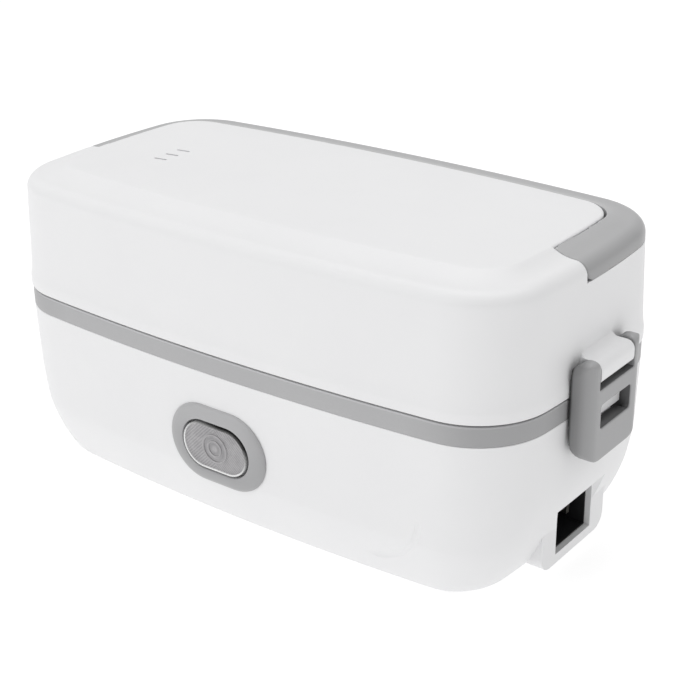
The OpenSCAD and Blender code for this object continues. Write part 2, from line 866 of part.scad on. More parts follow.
module knuckle() {
    corner = 3.2;
    inner = half_length - edge_inset - wall / 2;
    tall = knuckle_top - knuckle_bottom;
    difference() {
        along_y(-knuckle_width / 2, knuckle_width / 2) {
            translate([inner, knuckle_bottom]) square([knuckle_face - inner, tall - corner]);
            translate([inner, knuckle_bottom]) square([knuckle_face - inner - corner, tall]);
            translate([knuckle_face - corner, knuckle_top - corner]) circle(corner, $fn = 32);
        }
        for (s = [-1, 1])
            translate([clip_pivot_x, s * (knuckle_width / 2 - pin_reach / 2 + 0.5), clip_pivot_z])
                rotate([90, 0, 0])
                    cylinder(h = pin_reach + 1.2, r = clip_pin_radius + fit, center = true, $fn = 32);
    }
}

vent_slot_x = -71;
vent_slot_y = -5;
vent_pitch = 6.6;

module lid_shell() {
    color("whitesmoke")
    difference() {
        union() {
            lid_solid();
            for (side = [0, 1])
                mirror([side, 0, 0]) knuckle();
        }
        lid_room();
        front_room();
        handle_step();
        for (side = [-1, 1])
            translate([side * (half_length - panel_end_margin), handle_pivot_y, handle_pivot_z])
                rotate([0, 90, 0])
                    cylinder(h = 2 * pin_reach + 1, r = handle_pin_radius + fit, center = true, $fn = 32);
        for (i = [-1 : 1])
            translate([vent_slot_x, vent_slot_y + i * vent_pitch, lid_top - 5])
                rotate(-8) linear_extrude(8) stadium(6, 1.2);
    }
}

// ---- carry handle ----

handle_skin = 2.4;

// Waste outside a rounded corner at the origin
module corner_waste(r) {
    difference() {
        translate([-1, -1]) square([r + 1, r + 1]);
        translate([r, r]) circle(r, $fn = 48);
    }
}

// The handle from the side, with the end of its arms rounded so that they clear the lid as they turn
module handle_side_view() {
    translate([-handle_end, ledge])
        difference() {
            square([half_width + handle_end + 5, handle_drop + 2]);
            corner_waste(4);
            translate([0, handle_drop - panel_fall]) mirror([0, 1]) corner_waste(1.5);
        }
}

module handle_channel() {
    intersection() {
        difference() {
            loft([even(edge_inset + handle_skin, ledge - 1), even(edge_inset + handle_skin, lid_top - 8),
                  even(cove_start + 0.4, lid_top - 3.4 - handle_skin)]);
            panel_prism(handle_gap + handle_skin, ledge - 2, lid_top);
            for (x = [-60 : 30 : 60])
                translate([x - 0.8, 0, ledge + 1]) cube([1.6, body_width, handle_drop]);
        }
        translate([-body_length, handle_pivot_y + 6, 0]) cube([2 * body_length, body_width, lid_top + 5]);
    }
}

module carry_handle() {
    color("gray") {
        difference() {
            intersection() {
                lid_solid();
                along_x(-body_length, body_length) handle_side_view();
            }
            panel_prism(handle_gap, ledge - 5, lid_top + 1);
            handle_channel();
        }
        for (side = [-1, 1])
            translate([side * (half_length - panel_end_margin), handle_pivot_y, handle_pivot_z])
                rotate([0, 90, 0])
                    cylinder(h = 2 * pin_reach - 0.6, r = handle_pin_radius, center = true, $fn = 32);
    }
}

// ---- clips ----

clip_face = half_length + clip_depth;
clip_back = half_length + flange_out + 0.3;
clip_wall = 2.2;
ear_radius = 3.9;
clip_bottom = clip_pivot_z + ear_radius - clip_height;
slot_floor = lid_bottom + 1.9;
slot_half = knuckle_width / 2 + 0.3;
window_half = 10.5;
hook_level = base_top - catch_height - seat;
window_top = hook_level + 9.2;
window_bottom = hook_level - 1.2;
hook_tip = half_length + catch_reach - 1.6;

module clip_plan() {
    r = 6;
    half = clip_width / 2;
    translate([clip_back - 2, -half]) square([clip_face - clip_back + 2 - r, clip_width]);
    translate([clip_back - 2, -half + r]) square([clip_face - clip_back + 2, clip_width - 2 * r]);
    for (s = [-1, 1])
        translate([clip_face - r, s * (half - r)]) circle(r, $fn = 48);
}

module clip_side() {
    heel = 4;
    translate([clip_pivot_x, clip_pivot_z]) circle(ear_radius, $fn = 48);
    translate([clip_back, clip_bottom + heel])
        square([clip_face - clip_back, clip_pivot_z - clip_bottom - heel]);
    translate([clip_back + heel, clip_bottom]) square([clip_face - clip_back - heel, heel + 1]);
    translate([clip_back + heel, clip_bottom + heel]) circle(heel, $fn = 48);
}

module clip_front() {
    r = 9;
    half = clip_width / 2;
    translate([-half, clip_bottom + r]) square([clip_width, clip_height]);
    translate([-half + r, clip_bottom]) square([clip_width - 2 * r, r + 1]);
    for (s = [-1, 1])
        translate([s * (half - r), clip_bottom + r]) circle(r, $fn = 48);
}

module latch() {
    difference() {
        intersection() {
            translate([0, 0, clip_bottom - 1]) linear_extrude(clip_height + 2) clip_plan();
            along_y(-clip_width, clip_width) clip_side();
            along_x(half_length - 2, clip_face + 1) clip_front();
        }
        translate([clip_back - 5, -clip_width / 2 + clip_wall, clip_bottom + clip_wall])
            cube([clip_face - clip_wall - clip_back + 5, clip_width - 2 * clip_wall,
                  slot_floor - 1.4 - clip_bottom - clip_wall]);
        translate([clip_back - 5, -slot_half, slot_floor])
            cube([20, 2 * slot_half, clip_height]);
        translate([clip_face - clip_wall - 1, -window_half, window_bottom])
            cube([clip_wall + 2, 2 * window_half, window_top - window_bottom]);
    }
    translate([hook_tip, -catch_width / 2 + 0.2, hook_level - 3])
        cube([clip_face - clip_wall / 2 - hook_tip, catch_width - 0.4, 3]);
    for (s = [-1, 1])
        translate([clip_pivot_x, s * (slot_half - pin_reach / 2 + 0.25), clip_pivot_z])
            rotate([90, 0, 0]) cylinder(h = pin_reach + 0.5, r = clip_pin_radius, center = true, $fn = 32);
}

module latch_right() {
    color("gray") latch();
}

module latch_left() {
    color("gray") mirror([1, 0, 0]) latch();
}

base_shell();
rubber_feet();
base_screws();
heater_liner();
plate_gasket();
heating_plate();
ptc_heater();
heater_clamp();
clamp_screws();
thermostat();
thermal_fuse();
live_lead();
neutral_lead();
earth_lead();
heater_leads();
lamp_leads();
indicator_bezel();
indicator_lens();
lamp_board();
power_inlet();
inlet_pins();
food_container();
container_seal();
container_lid();
vent_plug();
upper_tray();
lid_shell();
carry_handle();
latch_left();
latch_right();
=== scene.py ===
import math
import bmesh
import bpy
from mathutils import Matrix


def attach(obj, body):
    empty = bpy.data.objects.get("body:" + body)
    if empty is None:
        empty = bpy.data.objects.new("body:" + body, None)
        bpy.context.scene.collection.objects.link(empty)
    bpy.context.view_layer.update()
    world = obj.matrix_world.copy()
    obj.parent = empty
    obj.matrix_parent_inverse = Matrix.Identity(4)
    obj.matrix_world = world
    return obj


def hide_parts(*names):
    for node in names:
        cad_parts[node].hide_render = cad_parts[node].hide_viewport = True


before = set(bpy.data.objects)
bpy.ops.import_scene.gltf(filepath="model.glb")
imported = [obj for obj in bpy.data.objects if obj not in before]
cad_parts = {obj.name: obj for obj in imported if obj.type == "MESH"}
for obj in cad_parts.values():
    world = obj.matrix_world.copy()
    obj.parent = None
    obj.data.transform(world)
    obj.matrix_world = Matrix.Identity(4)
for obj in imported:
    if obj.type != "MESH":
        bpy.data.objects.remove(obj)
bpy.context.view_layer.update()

# ---------------------------------------------------------------------------
# Camera, lights and floor.
# A pale table in a white tent that is a little darker on the right: one large
# soft light in front and one above.
bpy.ops.object.select_all(action="DESELECT")
bpy.ops.object.camera_add(location=(0.33655, -0.42576, 0.29973),
                          rotation=(math.radians(65.874), math.radians(0.788), math.radians(37.307)))
camera = bpy.context.object
camera.name = "camera"
camera.data.lens = 80.39
camera.data.sensor_width = 36
camera.data.clip_start = 0.01
bpy.context.scene.camera = camera

world = bpy.data.worlds.new("white_tent")
bpy.context.scene.world = world
world.use_nodes = True
nodes, links = world.node_tree.nodes, world.node_tree.links
background = nodes["Background"]
background.inputs["Color"].default_value = (1, 1, 1, 1)
around = nodes.new("ShaderNodeTexCoord")
direction = nodes.new("ShaderNodeSeparateXYZ")
glow = nodes.new("ShaderNodeMapRange")
glow.inputs["From Min"].default_value = -1.0
glow.inputs["To Min"].default_value = 0.66
glow.inputs["To Max"].default_value = 0.50
links.new(around.outputs["Generated"], direction.inputs[0])
links.new(direction.outputs["X"], glow.inputs["Value"])
links.new(glow.outputs["Result"], background.inputs["Strength"])
bpy.context.scene.view_settings.view_transform = "Standard"


def soft_light(name, place, turn, size, power):
    """A rectangular area light: place and size in metres, turn in degrees, power in watts."""
    bpy.ops.object.light_add(type="AREA", location=place, rotation=[math.radians(a) for a in turn])
    lamp = bpy.context.object
    lamp.name = name
    lamp.data.shape = "RECTANGLE"
    lamp.data.size = size[0]
    lamp.data.size_y = size[1]
    lamp.data.energy = power


soft_light("front_light", (-0.35, -1.10, 0.75), (60, 0, -18), (1.3, 0.9), 3.3)
soft_light("top_light", (0.0, 0.25, 1.30), (0, 0, 0), (1.2, 1.0), 6.6)

bpy.ops.mesh.primitive_plane_add(size=40, location=(0, 0, 0))
floor = bpy.context.object
floor.name = "floor"
paper = bpy.data.materials.new("white_paper")
paper.use_nodes = True
paper_shader = paper.node_tree.nodes["Principled BSDF"]
paper_shader.inputs["Base Color"].default_value = (0.35, 0.35, 0.35, 1)
paper_shader.inputs["Roughness"].default_value = 0.9
paper_shader.inputs["Specular IOR Level"].default_value = 0.1
paper_shader.inputs["Emission Color"].default_value = (1, 1, 1, 1)
paper_shader.inputs["Emission Strength"].default_value = 0.76
floor.data.materials.append(paper)

# ---------------------------------------------------------------------------
# Base shell.
# One injection moulding in white ABS: a drafted tub with bowed sides that curl
# in towards the underside, a block that holds the power inlet, a hole for the
# lamp and a catch under each clip.
mm = 0.001
half_length = 119.0
half_width = 62.6
corner = 29.3
side_bow = 3.9
end_bow = 1.5
wall = 2.2


def arc(centre, radius, start, stop, steps):
    """Points on an arc in degrees, all but its last."""
    turns = [math.radians(start + (stop - start) * i / steps) for i in range(steps)]
    return [(centre[0] + radius * math.cos(a), centre[1] + radius * math.sin(a)) for a in turns]


def bow_radius(half_span, bow):
    """Radius of the arc that rises by bow over twice half_span."""
    return (half_span ** 2 + bow ** 2) / (2 * bow)


def outline(end_in, side_in, tighter=0.0):
    """Plan of the box, set in by end_in at the ends and side_in at the sides, from +X to +Y and on.

    A quarter is an end arc, a corner arc that touches both, and half a side arc.
    """
    side_r = bow_radius(half_length - corner, side_bow) - side_in
    end_r = bow_radius(half_width - corner, end_bow) - end_in
    corner_r = max(corner - (end_in + side_in) * 0.42 - tighter, 6)
    side_y = half_width - side_in - side_r
    end_x = half_length - end_in - end_r
    apart = math.hypot(end_x, side_y)
    along = ((side_r - corner_r) ** 2 - (end_r - corner_r) ** 2 + apart * apart) / (2 * apart)
    off = math.sqrt((side_r - corner_r) ** 2 - along * along)
    corner_x = (along * end_x - off * side_y) / apart
    corner_y = side_y - (along * side_y + off * end_x) / apart
    to_end = math.degrees(math.atan2(corner_y, corner_x - end_x))
    to_side = math.degrees(math.atan2(corner_y - side_y, corner_x))
    quarter = arc((end_x, 0), end_r, 0, to_end, 8)
    quarter += arc((corner_x, corner_y), corner_r, to_end, to_side, 18)
    quarter += arc((0, side_y), side_r, to_side, 90, 22) + [(0, half_width - side_in)]
    return (quarter[:-1] + [(-x, y) for x, y in quarter[:0:-1]]
            + [(-x, -y) for x, y in quarter[:-1]] + [(x, -y) for x, y in quarter[:0:-1]])


def lofted(name, rings, hoop=False):
    """A closed moulding: a circle is extruded once a level, then each level's corners go to its ring."""
    bpy.ops.object.select_all(action="DESELECT")
    n = len(rings[0])
    bpy.ops.mesh.primitive_circle_add(vertices=n, radius=0.1, fill_type="NOTHING" if hoop else "NGON")
    piece = bpy.context.object
    piece.name = name
    bpy.ops.object.mode_set(mode="EDIT")
    bpy.ops.mesh.select_mode(type="EDGE" if hoop else "FACE")
    bpy.ops.mesh.select_all(action="SELECT")
    for _ in rings[1:]:
        bpy.ops.mesh.extrude_region_move()
    if hoop:
        bpy.ops.mesh.select_all(action="DESELECT")
        bpy.ops.mesh.select_non_manifold()
        bpy.ops.mesh.bridge_edge_loops()
    bpy.ops.object.mode_set(mode="OBJECT")
    first = {tuple(v.co): i for i, v in enumerate(piece.data.vertices[:n])}
    for i, v in enumerate(piece.data.vertices):
        v.co = [c * mm for c in rings[i // n][first[tuple(v.co)]]]
    bpy.ops.object.mode_set(mode="EDIT")
    bpy.ops.mesh.select_all(action="SELECT")
    bpy.ops.mesh.normals_make_consistent(inside=False)
    bpy.ops.object.mode_set(mode="OBJECT")
    return piece


def moulding(name, levels, tighter=0.0):
    """A moulding on the box's plan, through levels of (end inset, side inset, height)."""
    return lofted(name, [[(x, y, z) for x, y in outline(a, b, tighter)] for a, b, z in levels])


def block(name, low, high, radius=0.0):
    """A block in millimetres, with the four edges that run along X rounded."""
    bpy.ops.object.select_all(action="DESELECT")
    bpy.ops.mesh.primitive_cube_add(size=1)
    piece = bpy.context.object
    piece.name = name
    for v in piece.data.vertices:
        v.co = [(lo if c < 0 else hi) * mm for c, lo, hi in zip(v.co, low, high)]
    if radius:
        bpy.ops.object.mode_set(mode="EDIT")
        bpy.ops.mesh.select_all(action="DESELECT")
        mesh = bmesh.from_edit_mesh(piece.data)
        for edge in mesh.edges:
            edge.select_set(abs(edge.verts[0].co.x - edge.verts[1].co.x) > 1e-6)
        bmesh.update_edit_mesh(piece.data)
        bpy.ops.mesh.select_mode(type="EDGE")
        bpy.ops.mesh.bevel(offset=radius * mm, segments=8)
        bpy.ops.object.mode_set(mode="OBJECT")
    return piece


def rod(name, centre, radius, length, axis="Z", sides=48):
    """A round rod in millimetres about its centre."""
    bpy.ops.object.select_all(action="DESELECT")
    turn = {"X": (0, math.pi / 2, 0), "Y": (math.pi / 2, 0, 0), "Z": (0, 0, 0)}[axis]
    bpy.ops.mesh.primitive_cylinder_add(vertices=sides, radius=radius * mm, depth=length * mm,
                                        location=[c * mm for c in centre], rotation=turn)
    piece = bpy.context.object
    piece.name = name
    bpy.ops.object.transform_apply(location=True, rotation=True, scale=True)
    return piece


def apply(piece, kind, **settings):
    """Adds a modifier to a piece and applies it."""
    bpy.ops.object.select_all(action="DESELECT")
    piece.select_set(True)
    bpy.context.view_layer.objects.active = piece
    modifier = piece.modifiers.new(kind.lower(), kind)
    for key, value in settings.items():
        setattr(modifier, key, value)
    bpy.ops.object.modifier_apply(modifier=modifier.name)


def combine(piece, other, how):
    """Joins, cuts or trims a piece with another one, which is used up."""
    apply(piece, "BOOLEAN", object=other, operation=how, solver="MANIFOLD")
    bpy.data.objects.remove(other, do_unlink=True)


def crisp(piece):
    """Merges a cut's slivers, shades the curved faces smooth and leaves the cut edges sharp."""
    bpy.ops.object.select_all(action="DESELECT")
    piece.select_set(True)
    bpy.context.view_layer.objects.active = piece
    bpy.ops.object.mode_set(mode="EDIT")
    bpy.ops.mesh.select_all(action="SELECT")
    bpy.ops.mesh.remove_doubles(threshold=1e-6)
    bpy.ops.object.mode_set(mode="OBJECT")
    bpy.ops.object.shade_smooth_by_angle(angle=math.radians(32))
    apply(piece, "WEIGHTED_NORMAL", keep_sharp=True)


def softened(piece, grid, rounds, keep):
    """Rounds every edge, as a mould does, by about two steps of a fine grid in millimetres."""
    apply(piece, "REMESH", mode="VOXEL", voxel_size=grid * mm)
    apply(piece, "SMOOTH", factor=0.5, iterations=rounds)
    apply(piece, "DECIMATE", ratio=keep)
    bpy.ops.object.shade_smooth()


def paint(piece, material):
    """Makes a material the piece's only one."""
    piece.data.materials.clear()
    piece.data.materials.append(material)


draft = math.radians(1.6)
tub_height = 64
foot_height = 1


def taper(h):
    """How far the drafted wall has drawn in at height h over the underside."""
    return (tub_height - h) * math.tan(draft)


def curl(depth, rise, power, h):
    """How far the wall has curled in at height h, depth at the underside and none from rise up."""
    return 0 if h >= rise else depth * (1 - (1 - (1 - h / rise) ** power) ** (1 / power))


def base_level(h, inward=0.0):
    """The tub's (end inset, side inset, height) at height h over its underside."""
    return (taper(h) + curl(16, 40, 1.7, h) + inward, taper(h) + curl(8, 23, 1.3, h) + inward,
            foot_height + h)


underside_round = [(0, 1.3), (0.12, 0.75), (0.4, 0.35), (0.9, 0.1)]
outer_heights = [1.6, 2.5, 3.6, 4.9, 6.4, 8.2, 10.2, 12.6, 15.4, 18.5,
                 21, 23, 26, 29.5, 33, 36.5, 40, 47, 55, 63.6]
inner_heights = [54, 45, 40, 34, 28, 23, 18, 13, 9, 6, 4.2, 3]
base = moulding("base_tub",
                [base_level(h, inset) for h, inset in underside_round]
                + [base_level(h) for h in outer_heights]
                + [base_level(63.9, 0.12), base_level(tub_height, 0.4), base_level(tub_height, wall)]
                + [base_level(h, wall) for h in inner_heights])

# The inlet's housing, whose face is recessed flat into the curled wall.
housing_face = 113.3
housing_half = 22.2
housing_top = 28.8
combine(base, block("inlet_housing", (97.3, -housing_half, 3), (housing_face, housing_half, housing_top),
                    radius=6), "UNION")
filling = moulding("housing_filling", [base_level(h, 0.3) for h in outer_heights])
combine(filling, block("filling_span", (100, -21.5, 12), (125, 21.5, housing_top)), "INTERSECT")
combine(base, filling, "UNION")
recess = []
for depth in (0, 6.7):
    side, top = 12.9 + 1.6 * depth, 25.4 + 0.73 * depth
    recess.append([(housing_face + 0.02 + depth, y, z)
                   for y, z in ((-side, 6.4), (side, 6.4), (side, top), (-side, top))])
combine(base, lofted("flat_round_mouth", recess), "DIFFERENCE")

# A shallow moulded crease that rises towards the front right corner: a groove
# whose axis runs outside the wall, further out at its ends so that it fades.
groove_radius = 2.2
crease = [(62, 11.0), (66, 11.4), (69.7, 12.2), (73, 13.8), (76.2, 15.8), (78.6, 17.6), (81, 20.4),
          (82.8, 23.0), (84, 25.7), (84.8, 28.3), (85.3, 31), (85.6, 33)]
rings = []
for i, (x, z) in enumerate(crease):
    before, after = crease[max(i - 1, 0)], crease[min(i + 1, len(crease) - 1)]
    slope = math.atan2(after[1] - before[1], after[0] - before[0])
    side_in = base_level(z - foot_height)[1]
    side_r = bow_radius(half_length - corner, side_bow) - side_in
    wall_y = -(half_width - side_in) + side_r - math.sqrt(side_r ** 2 - x ** 2)
    outside = 2.3 if i in (0, len(crease) - 1) else 1.8
    y = wall_y - outside
    turns = [2 * math.pi * j / 32 for j in range(32)]
    rings.append([(x - groove_radius * math.cos(a) * math.sin(slope), y + groove_radius * math.sin(a),
                   z + groove_radius * math.cos(a) * math.cos(slope)) for a in turns])
combine(base, lofted("crease", rings), "DIFFERENCE")

# Catches for the clips, room for the inlet, and the recesses and wells below.
for x in (120.25, -120.25):
    combine(base, block("catch", (x - 2.75, -10.1, 62.4), (x + 2.75, 10.1, 67.8)), "UNION")
combine(base, block("inlet_room", (90, -13.95, 5.35), (111, 13.95, 26.65)), "DIFFERENCE")
combine(base, block("inlet_mouth", (105, -12.5, 6.8), (120, 12.5, 25.2)), "DIFFERENCE")
quadrants = [(sx, sy) for sx in (-1, 1) for sy in (-1, 1)]
screw_place = (62, 30)
for sx, sy in quadrants:
    combine(base, rod("foot_recess", (sx * 88, sy * 41, foot_height), 4.8, 2.8), "DIFFERENCE")
    combine(base, rod("screw_well", (sx * screw_place[0], sy * screw_place[1], 4), 3.5, 8), "DIFFERENCE")

# The hole that the lamp sits in, square to the drafted wall.
lamp_x = -1.8
lamp_height = 35.7
lamp_wall = half_width - taper(lamp_height - foot_height)


def on_front_wall(x, y, z):
    """A point x to the right of the lamp's middle, y into the wall and z up along it."""
    return (lamp_x + x, -lamp_wall + y * math.cos(draft) - z * math.sin(draft),
            lamp_height + z * math.cos(draft) + y * math.sin(draft))


def half_turns(steps):
    """(side, angle) of the points round a slot's two ends, the right end first."""
    return [(sx, math.radians(start + 180 * i / steps))
            for sx, start in ((1, -90), (-1, 90)) for i in range(steps + 1)]


def stadium(w, h, y):
    """Outline of a rounded slot on the front wall, w by h, at y in from the wall, in millimetres."""
    return [on_front_wall(sx * (w - h) / 2 + h / 2 * math.cos(a), y, h / 2 * math.sin(a))
            for sx, a in half_turns(24)]


combine(base, lofted("lamp_hole", [stadium(36.4, 22.4, -8), stadium(36.4, 22.4, 8)]), "DIFFERENCE")
crisp(base)
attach(base, "base")
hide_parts("base_shell")


def grain_group():
    """Skin of a spark-eroded mould: a fine even grain, and broad faint patches polished by handling."""
    group = bpy.data.node_groups.new("moulded_skin", "ShaderNodeTree")
    face = group.interface
    face.new_socket("Vector", in_out="INPUT", socket_type="NodeSocketVector")
    for name, value in (("Grain size", 2600.0), ("Patch size", 26.0),
                        ("Patch depth", 0.06), ("Roughness", 0.42)):
        socket = face.new_socket(name, in_out="INPUT", socket_type="NodeSocketFloat")
        socket.default_value = value
    for name in ("Height", "Roughness", "Patch"):
        face.new_socket(name, in_out="OUTPUT", socket_type="NodeSocketFloat")
    nodes, links = group.nodes, group.links
    inp, out = nodes.new("NodeGroupInput"), nodes.new("NodeGroupOutput")
    grain = nodes.new("ShaderNodeTexNoise")
    grain.inputs["Detail"].default_value = 3
    patch = nodes.new("ShaderNodeTexNoise")
    patch.inputs["Detail"].default_value = 5
    patch.inputs["Roughness"].default_value = 0.6
    links.new(inp.outputs["Vector"], grain.inputs["Vector"])
    links.new(inp.outputs["Vector"], patch.inputs["Vector"])
    links.new(inp.outputs["Grain size"], grain.inputs["Scale"])
    links.new(inp.outputs["Patch size"], patch.inputs["Scale"])
    centre = nodes.new("ShaderNodeMath")
    centre.operation = "SUBTRACT"
    centre.inputs[1].default_value = 0.5
    rough = nodes.new("ShaderNodeMath")
    rough.operation = "MULTIPLY_ADD"
    links.new(patch.outputs["Fac"], centre.inputs[0])
    links.new(centre.outputs[0], rough.inputs[0])
    links.new(inp.outputs["Patch depth"], rough.inputs[1])
    links.new(inp.outputs["Roughness"], rough.inputs[2])
    links.new(grain.outputs["Fac"], out.inputs["Height"])
    links.new(rough.outputs[0], out.inputs["Roughness"])
    links.new(patch.outputs["Fac"], out.inputs["Patch"])
    return group


moulded_skin = grain_group()


def relieved(material, height, strength, distance):
    """Bumps a material's surface by the height in a socket, over a distance in metres."""
    nodes, links = material.node_tree.nodes, material.node_tree.links
    relief = nodes.new("ShaderNodeBump")
    relief.inputs["Strength"].default_value = strength
    relief.inputs["Distance"].default_value = distance
    links.new(height, relief.inputs["Height"])
    links.new(relief.outputs["Normal"], nodes["Principled BSDF"].inputs["Normal"])


def plastic(name, colour, shade, roughness=0.42, bump=0.05, specular=0.4):
    """A moulded plastic: its colour wanders a little towards shade, over a fine grain."""
    material = bpy.data.materials.new(name)
    material.use_nodes = True
    nodes, links = material.node_tree.nodes, material.node_tree.links
    shader = nodes["Principled BSDF"]
    shader.inputs["Specular IOR Level"].default_value = specular
    place = nodes.new("ShaderNodeTexCoord")
    skin = nodes.new("ShaderNodeGroup")
    skin.node_tree = moulded_skin
    skin.inputs["Roughness"].default_value = roughness
    links.new(place.outputs["Object"], skin.inputs["Vector"])
    blend = nodes.new("ShaderNodeMix")
    blend.data_type = "RGBA"
    blend.inputs["A"].default_value = (*colour, 1)
    blend.inputs["B"].default_value = (*shade, 1)
    links.new(skin.outputs["Patch"], blend.inputs["Factor"])
    links.new(blend.outputs["Result"], shader.inputs["Base Color"])
    links.new(skin.outputs["Roughness"], shader.inputs["Roughness"])
    relieved(material, skin.outputs["Height"], bump, 0.0002)
    return material


def maths(material, operation, a, b=None):
    """Adds a math node to a material; each side is a socket or a number."""
    node = material.node_tree.nodes.new("ShaderNodeMath")
    node.operation = operation
    for i, side in enumerate((a, b)):
        if isinstance(side, (int, float)):
            node.inputs[i].default_value = side
        elif side is not None:
            material.node_tree.links.new(side, node.inputs[i])
    return node.outputs[0]


def spread(material, value, start, stop):
    """Spreads a socket's values from start to stop over 0 to 1."""
    node = material.node_tree.nodes.new("ShaderNodeMapRange")
    node.inputs["From Min"].default_value = start
    node.inputs["From Max"].default_value = stop
    material.node_tree.links.new(value, node.inputs["Value"])
    return node.outputs["Result"]


def ramp(material, value, tones):
    """A colour ramp through (position, colour) tones from 0 to 1, driven by a socket."""
    node = material.node_tree.nodes.new("ShaderNodeValToRGB")
    elements = node.color_ramp.elements
    elements[0].color = (*tones[0][1], 1)
    elements[1].color = (*tones[-1][1], 1)
    for position, colour in tones[1:-1]:
        elements.new(position).color = (*colour, 1)
    material.node_tree.links.new(value, node.inputs["Fac"])
    return node.outputs["Color"]


def painted_shading(material, tone):
    """Multiplies a plastic's colour by the tone in a socket, which paints shade into it."""
    nodes, links = material.node_tree.nodes, material.node_tree.links
    base_colour = nodes["Principled BSDF"].inputs["Base Color"]
    product = nodes.new("ShaderNodeMix")
    product.data_type = "RGBA"
    product.blend_type = "MULTIPLY"
    product.inputs["Factor"].default_value = 1.0
    links.new(base_colour.links[0].from_socket, product.inputs["A"])
    links.new(tone, product.inputs["B"])
    links.new(product.outputs["Result"], base_colour)


def graded(material, axis, start, stop, tones):
    """Multiplies a plastic's colour by greys along one axis, the same on both sides of the middle, which
    paints shade and light into it.
    """
    nodes, links = material.node_tree.nodes, material.node_tree.links
    place = nodes.new("ShaderNodeTexCoord")
    split = nodes.new("ShaderNodeSeparateXYZ")
    links.new(place.outputs["Object"], split.inputs[0])
    along = spread(material, maths(material, "ABSOLUTE", split.outputs[axis]), start, stop)
    painted_shading(material, ramp(material, along, [(at, (tone, tone, tone)) for at, tone in tones]))


white_abs = plastic("white_abs", (0.86, 0.86, 0.865), (0.82, 0.82, 0.83))
paint(base, white_abs)

# ---------------------------------------------------------------------------
# Liner: the grey band round the join, its locating lip and the heating basin.
# One grey moulding that drops into the base and is screwed to it from below.
liner_profile = [(14.6, 27), (10.6, 29), (9.6, 32), (6.6, 64.5), (2.6, 64.5), (2.6, 65),
                 (0.35, 65), (0.08, 65.12), (0, 65.4), (0, 69), (0, 71.8), (0.08, 72.1),
                 (0.25, 72.35), (0.5, 72.4), (3.6, 72.2), (3.6, 75.3), (3.9, 75.7), (5.1, 75.7),
                 (5.4, 75.4), (5.4, 71.1), (8.0, 71.1), (8.2, 70.8), (8.6, 65),
                 (11.6, 34), (12.0, 31.6), (13.0, 30), (14.6, 29.2), (16.6, 29)]
liner = moulding("liner", [(inset, inset, z) for inset, z in liner_profile])
plate_opening = [[(30 * sx + 18 * math.cos(a), 18 * math.sin(a), z) for sx, a in half_turns(24)]
                 for z in (25, 31)]
combine(liner, lofted("plate_opening", plate_opening), "DIFFERENCE")
for sx, sy in quadrants:
    combine(liner, rod("post", (sx * screw_place[0], sy * screw_place[1], 19.8), 4, 17.4), "UNION")
crisp(liner)
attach(liner, "base")
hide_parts("heater_liner")
grey_abs = plastic("grey_abs", (0.600, 0.600, 0.607), (0.560, 0.560, 0.570), roughness=0.40, bump=0.06)
# Painted shade: the band's grey is painted darker towards both ends, where its end faces get less light.
graded(grey_abs, "X", 0.080, 0.104, ((0, 1.0), (0.5, 0.93), (1, 0.83)))
# Painted highlight: everything below the lip is painted darker, so the lip's top and the rim above it stand
# out lighter, as if lit from above.
graded(grey_abs, "Z", 0.0717, 0.0721, ((0, 0.76), (1, 1.0)))
paint(liner, grey_abs)

# ---------------------------------------------------------------------------
# Lid.
# A white moulding with a small flange at its rim, a raised panel with a cove
# round it, three steam slots, a knuckle for each clip, and a step round the
# rear half that the carry handle lies in.
lid_rim = 73.25
lid_top = 121.0
cove_start = 6.4
panel_edge = (15, 17.9)
handle_pivot = (104, -2.4, 117.8)
clip_pivot = (123.1, 82.6)
bore_radius = 1.55


def cove_side(inset):
    """Side inset of the cove where its end inset is this: the sides' cove is the wider one."""
    if inset <= cove_start:
        return inset
    return cove_start + (inset - cove_start) * (panel_edge[1] - cove_start) / (panel_edge[0] - cove_start)


def lid_form(name):
    """The lid's outer form, which lid and handle are both cut from."""
    levels = [(4, 4, lid_rim)]
    levels += [(inset, inset, lid_rim + rise)
               for inset, rise in ((0.1, 0), (-0.25, 0.1), (-0.4, 0.4), (-0.4, 3.2), (-0.35, 4.0),
                                   (-0.2, 5.0), (0.0, 6.2), (0.18, 7.8), (0.34, 10))]
    levels += [(inset, inset, z) for inset, z in ((0.6, 90), (0.87, 98), (1.15, 106), (1.33, 110.5))]
    for angle in range(0, 91, 10):
        a = math.radians(angle)
        inset = cove_start - 5 * math.cos(a)
        levels.append((inset, inset, 113.05 + 5 * math.sin(a)))
    for step in range(1, 9):
        s = step / 8
        inset = cove_start + 8.6 * s
        levels.append((inset, cove_side(inset), lid_top - 0.35 - 2.6 * (1 - s * s)))
    levels += [(15.6, 18.5, 120.80), (17, 19.9, 120.87), (20, 22, 120.92), (31, 29.9, 120.99),
               (44, 41, lid_top), (56, 52, lid_top)]
    return moulding(name, levels)


lid = lid_form("lid_shell_skin")
knuckle_lip = [(122.0, 0.02), (121, 0.15), (120.1, 0.45), (119.3, 0.95),
               (118.7, 1.6), (118.3, 2.4), (116, 2.5)]
for sx in (1, -1):
    rings = []
    for y, rise in ((-11.6, 0.1), (-11.1, 0.7), (-9.4, 1), (9.4, 1), (11.1, 0.7), (11.6, 0.1)):
        profile = [(116, 77.6), (124.9, 77.6), (126.1, 78.0), (126.6, 78.5), (126.9, 79.6)]
        profile += [(123.7 + 3.2 * math.cos(math.radians(a)), 82.2 + 3.2 * math.sin(math.radians(a)))
                    for a in range(0, 91, 10)]
        profile += [(x, 85.4 + rise * z) for x, z in knuckle_lip]
        rings.append([(sx * x, y, z) for x, z in profile])
    combine(lid, lofted("knuckle", rings), "UNION")

